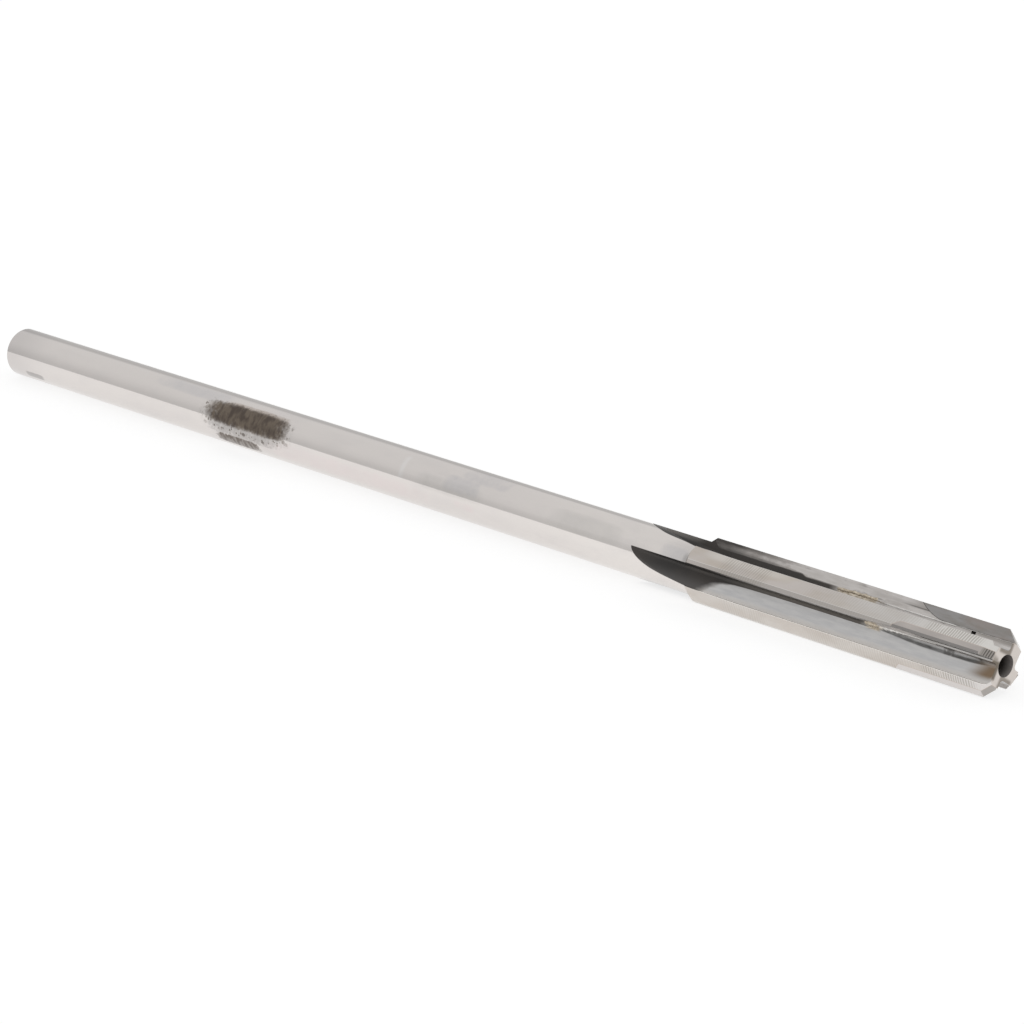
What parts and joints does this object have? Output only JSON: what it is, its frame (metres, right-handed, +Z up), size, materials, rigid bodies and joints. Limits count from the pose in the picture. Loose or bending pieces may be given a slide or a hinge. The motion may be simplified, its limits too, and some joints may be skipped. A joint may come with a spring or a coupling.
{
  "type": "machine reamer",
  "caption": "Straight-shank, straight-flute machine reamer with brazed carbide tips, a 45 degree lead chamfer and a coolant bore along its axis.",
  "frame": {"origin": "centre of the shank's end face, on the axis", "axes": "+X runs along the axis from the shank's end to the nose, +Z is up as the reamer lies at rest, +Y completes the frame"},
  "size_m": [0.1524, 0.006, 0.006],
  "materials": {
    "ground_steel": "ground and polished, with fine grinding marks on the lands and dark scale in the flutes",
    "carbide": "ground dark grey cemented carbide",
    "braze": "dull, heat-tinted brazing alloy"
  },
  "bodies": {
    "root": {"reamer_body": "ground_steel", "carbide_tip_1": "carbide", "carbide_tip_2": "carbide", "carbide_tip_3": "carbide", "carbide_tip_4": "carbide", "braze_1": "braze", "braze_2": "braze", "braze_3": "braze", "braze_4": "braze"}
  },
  "joints": []
}
